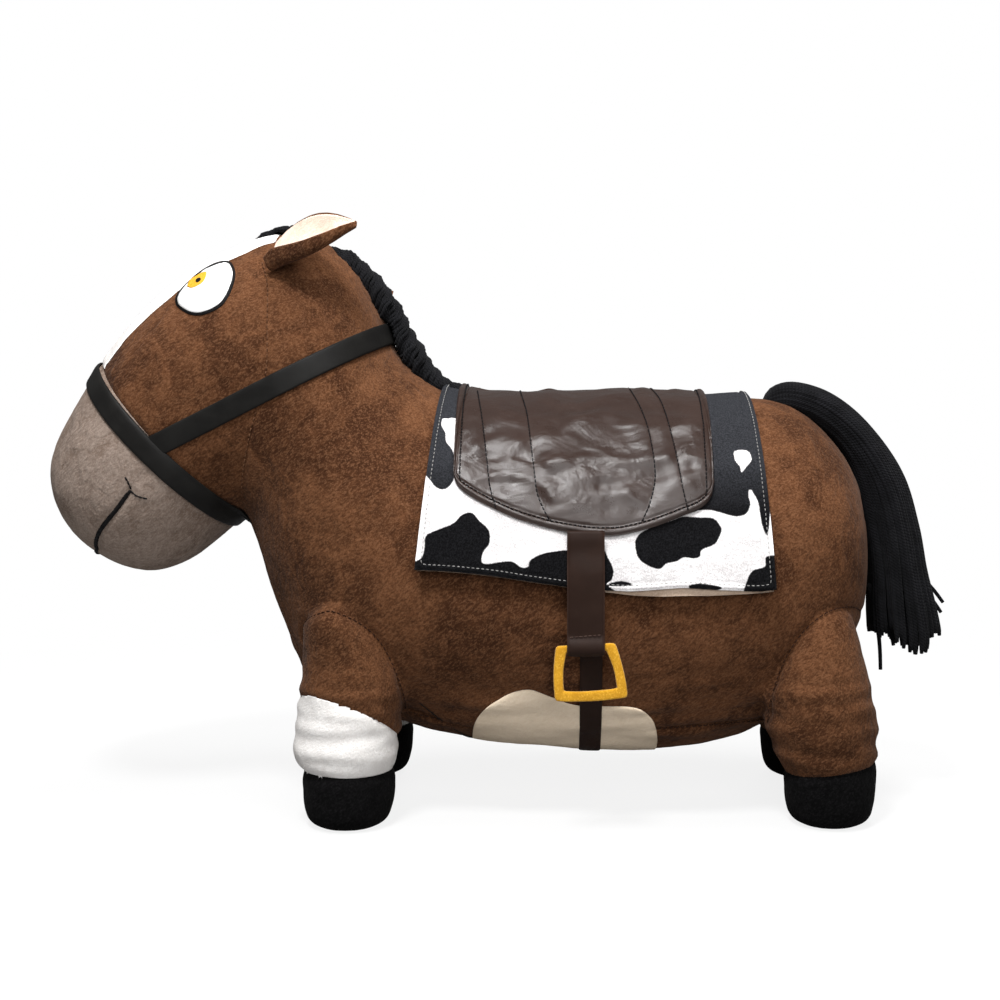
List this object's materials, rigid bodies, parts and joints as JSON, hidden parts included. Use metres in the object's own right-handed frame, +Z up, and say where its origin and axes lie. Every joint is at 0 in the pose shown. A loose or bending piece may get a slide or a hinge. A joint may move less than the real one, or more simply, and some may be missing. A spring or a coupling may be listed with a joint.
{
  "type": "plush toy horse",
  "caption": "Plush toy horse on four short legs, with yarn mane and tail, strap bridle, spotted blanket, saddle, girth and swinging stirrups.",
  "frame": {"origin": "on the floor under the middle of the whole horse's bounding box", "axes": "+Z up, -X towards the head, +X towards the tail, -Y the horse's left side"},
  "size_m": [0.6636, 0.2598, 0.431],
  "materials": {
    "brown_plush": "short brown plush",
    "grey_plush": "short grey plush",
    "white_plush": "short white plush",
    "cream_plush": "short cream plush",
    "pink_plush": "short pale pink plush",
    "black_plush": "short black plush",
    "black_yarn": "twisted yarn",
    "black_strap": "smooth black imitation leather",
    "white_felt": "dense white embroidery felt",
    "yellow_felt": "thick yellow felt",
    "black_felt": "black embroidery",
    "brown_leather": "glossy dark brown imitation leather",
    "cow_plush": "printed short plush, white with dark patches",
    "lining_cloth": "plain woven lining"
  },
  "bodies": {
    "horse": {"torso": "brown_plush", "neck": "brown_plush", "head": "brown_plush", "muzzle": "grey_plush", "blaze": "white_plush", "belly_patch": "cream_plush", "eye_left": "white_felt", "eye_right": "white_felt", "iris_left": "yellow_felt", "iris_right": "yellow_felt", "pupil_left": "black_felt", "pupil_right": "black_felt", "mane": "black_yarn", "forelock": "black_yarn", "leg_front_left": "brown_plush", "leg_front_right": "brown_plush", "leg_rear_left": "brown_plush", "leg_rear_right": "brown_plush", "stocking_front_left": "white_plush", "stocking_front_right": "white_plush", "hoof_front_left": "black_plush", "hoof_front_right": "black_plush", "hoof_rear_left": "black_plush", "hoof_rear_right": "black_plush", "noseband": "black_strap", "cheek_strap": "black_strap", "blanket_lining": "lining_cloth", "saddle_blanket": "cow_plush", "saddle": "brown_leather", "girth": "brown_leather"},
    "ear_left": {"ear_left": "brown_plush", "ear_lining_left": "pink_plush"},
    "ear_right": {"ear_right": "brown_plush", "ear_lining_right": "pink_plush"},
    "tail": {"tail": "black_yarn"},
    "stirrup_leather_left": {"stirrup_leather_left": "brown_leather"},
    "stirrup_leather_right": {"stirrup_leather_right": "brown_leather"},
    "stirrup_left": {"stirrup_left": "yellow_felt"},
    "stirrup_right": {"stirrup_right": "yellow_felt"}
  },
  "joints": [
    {"name": "ear_left_flop", "type": "hinge", "parent": "horse", "child": "ear_left", "pos_m": [-0.15885, -0.05499, 0.39646], "axis": [0.1508, 0.7038, 0.6942], "range_deg": [-15, 40], "stiffness_Nm_per_rad": 0.03},
    {"name": "ear_right_flop", "type": "hinge", "parent": "horse", "child": "ear_right", "pos_m": [-0.15885, 0.05499, 0.39646], "axis": [-0.1508, 0.7038, -0.6942], "range_deg": [-60, 0], "stiffness_Nm_per_rad": 0.03},
    {"name": "tail_lift", "type": "hinge", "parent": "horse", "child": "tail", "pos_m": [0.207, 0, 0.3027], "axis": [0, -1, 0], "range_deg": [0, 95]},
    {"name": "stirrup_leather_left_swing", "type": "hinge", "parent": "horse", "child": "stirrup_leather_left", "pos_m": [0.064, -0.12217, 0.20355], "axis": [-1, 0, 0], "range_deg": [0, 70]},
    {"name": "stirrup_leather_right_swing", "type": "hinge", "parent": "horse", "child": "stirrup_leather_right", "pos_m": [0.064, 0.12217, 0.20355], "axis": [1, 0, 0], "range_deg": [0, 70]},
    {"name": "stirrup_left_swing", "type": "hinge", "parent": "stirrup_leather_left", "child": "stirrup_left", "pos_m": [0.064, -0.12457, 0.13225], "axis": [-1, 0, 0], "range_deg": [-4, 80]},
    {"name": "stirrup_right_swing", "type": "hinge", "parent": "stirrup_leather_right", "child": "stirrup_right", "pos_m": [0.064, 0.12457, 0.13225], "axis": [1, 0, 0], "range_deg": [-4, 80]}
  ]
}
